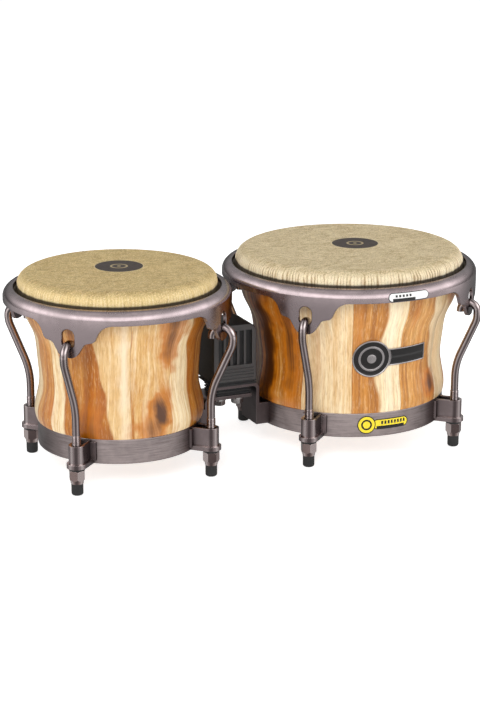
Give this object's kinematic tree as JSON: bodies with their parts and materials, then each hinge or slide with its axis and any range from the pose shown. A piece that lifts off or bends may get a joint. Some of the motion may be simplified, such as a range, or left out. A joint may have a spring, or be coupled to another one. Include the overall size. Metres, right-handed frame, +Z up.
{
  "type": "bongo drums",
  "caption": "Joined pair of bongo drums with stave shells, skin heads, hook-tuned steel rims and a rubber-mounted bridge block.",
  "frame": {"origin": "on the floor, halfway along the pair and on the line through both drum axes", "axes": "+X from the small drum to the large drum, +Y to the back, +Z up"},
  "size_m": [0.4486, 0.2363, 0.1815],
  "materials": {
    "stave_wood": "satin lacquer over two-tone staves",
    "drum_skin": "matte mottled skin",
    "dark_nickel": "satin dark nickel plate",
    "hoop_steel": "plain",
    "black_washer": "satin black",
    "bolt_nickel": "bright nickel plate",
    "foot_rubber": "matte",
    "pad_rubber": "matte",
    "block_plastic": "fine texture",
    "badge": "black enamel with a bright edge",
    "white_label": "gloss film",
    "yellow_label": "gloss film"
  },
  "bodies": {
    "root": {"bridge_bolts": "bolt_nickel", "bridge_washers": "bolt_nickel", "centre_block": "block_plastic", "hembra_badge": "badge", "hembra_bottom_ring": "dark_nickel", "hembra_bridge_bracket": "dark_nickel", "hembra_flesh_hoop": "hoop_steel", "hembra_head": "drum_skin", "hembra_lug_brackets": "dark_nickel", "hembra_lug_washers": "black_washer", "hembra_name_plate": "badge", "hembra_ring_label": "yellow_label", "hembra_shell": "stave_wood", "lower_rubber_pad": "pad_rubber", "macho_bottom_ring": "dark_nickel", "macho_bridge_bracket": "dark_nickel", "macho_flesh_hoop": "hoop_steel", "macho_head": "drum_skin", "macho_lug_brackets": "dark_nickel", "macho_lug_washers": "black_washer", "macho_shell": "stave_wood", "upper_rubber_pad": "pad_rubber"},
    "macho_rim_assembly": {"macho_rim": "dark_nickel", "macho_tuning_rod_1": "dark_nickel", "macho_tuning_rod_2": "dark_nickel", "macho_tuning_rod_3": "dark_nickel", "macho_tuning_rod_4": "dark_nickel"},
    "macho_nut_1": {"macho_tuning_nut_1": "dark_nickel", "macho_foot_cap_1": "foot_rubber"},
    "macho_nut_2": {"macho_tuning_nut_2": "dark_nickel", "macho_foot_cap_2": "foot_rubber"},
    "macho_nut_3": {"macho_tuning_nut_3": "dark_nickel", "macho_foot_cap_3": "foot_rubber"},
    "macho_nut_4": {"macho_tuning_nut_4": "dark_nickel", "macho_foot_cap_4": "foot_rubber"},
    "hembra_rim_assembly": {"hembra_rim": "dark_nickel", "hembra_tuning_rod_1": "dark_nickel", "hembra_tuning_rod_2": "dark_nickel", "hembra_tuning_rod_3": "dark_nickel", "hembra_tuning_rod_4": "dark_nickel", "hembra_rim_label": "white_label"},
    "hembra_nut_1": {"hembra_tuning_nut_1": "dark_nickel", "hembra_foot_cap_1": "foot_rubber"},
    "hembra_nut_2": {"hembra_tuning_nut_2": "dark_nickel", "hembra_foot_cap_2": "foot_rubber"},
    "hembra_nut_3": {"hembra_tuning_nut_3": "dark_nickel", "hembra_foot_cap_3": "foot_rubber"},
    "hembra_nut_4": {"hembra_tuning_nut_4": "dark_nickel", "hembra_foot_cap_4": "foot_rubber"}
  },
  "joints": [
    {"name": "macho_tuning", "type": "slide", "parent": "root", "child": "macho_rim_assembly", "axis": [0, 0, 1], "range_m": [0, 0.0075]},
    {"name": "macho_nut_turn_1", "type": "hinge", "parent": "root", "child": "macho_nut_1", "pos_m": [-0.18554, -0.06329, 0.0165], "axis": [0, 0, 1], "range_deg": [-2165, 0]},
    {"name": "macho_nut_turn_2", "type": "hinge", "parent": "root", "child": "macho_nut_2", "pos_m": [-0.05896, -0.06329, 0.0165], "axis": [0, 0, 1], "range_deg": [-2165, 0]},
    {"name": "macho_nut_turn_3", "type": "hinge", "parent": "root", "child": "macho_nut_3", "pos_m": [-0.05896, 0.06329, 0.0165], "axis": [0, 0, 1], "range_deg": [-2165, 0]},
    {"name": "macho_nut_turn_4", "type": "hinge", "parent": "root", "child": "macho_nut_4", "pos_m": [-0.18554, 0.06329, 0.0165], "axis": [0, 0, 1], "range_deg": [-2165, 0]},
    {"name": "hembra_tuning", "type": "slide", "parent": "root", "child": "hembra_rim_assembly", "axis": [0, 0, 1], "range_m": [0, 0.0075]},
    {"name": "hembra_nut_turn_1", "type": "hinge", "parent": "root", "child": "hembra_nut_1", "pos_m": [0.032, -0.07425, 0.0165], "axis": [0, 0, 1], "range_deg": [-2165, 0]},
    {"name": "hembra_nut_turn_2", "type": "hinge", "parent": "root", "child": "hembra_nut_2", "pos_m": [0.1805, -0.07425, 0.0165], "axis": [0, 0, 1], "range_deg": [-2165, 0]},
    {"name": "hembra_nut_turn_3", "type": "hinge", "parent": "root", "child": "hembra_nut_3", "pos_m": [0.1805, 0.07425, 0.0165], "axis": [0, 0, 1], "range_deg": [-2165, 0]},
    {"name": "hembra_nut_turn_4", "type": "hinge", "parent": "root", "child": "hembra_nut_4", "pos_m": [0.032, 0.07425, 0.0165], "axis": [0, 0, 1], "range_deg": [-2165, 0]}
  ],
  "couplings": [
    {"joint": "macho_nut_turn_1", "follows": "macho_tuning", "rad_per_m": -5026.5},
    {"joint": "macho_nut_turn_2", "follows": "macho_tuning", "rad_per_m": -5026.5},
    {"joint": "macho_nut_turn_3", "follows": "macho_tuning", "rad_per_m": -5026.5},
    {"joint": "macho_nut_turn_4", "follows": "macho_tuning", "rad_per_m": -5026.5},
    {"joint": "hembra_nut_turn_1", "follows": "hembra_tuning", "rad_per_m": -5026.5},
    {"joint": "hembra_nut_turn_2", "follows": "hembra_tuning", "rad_per_m": -5026.5},
    {"joint": "hembra_nut_turn_3", "follows": "hembra_tuning", "rad_per_m": -5026.5},
    {"joint": "hembra_nut_turn_4", "follows": "hembra_tuning", "rad_per_m": -5026.5}
  ]
}
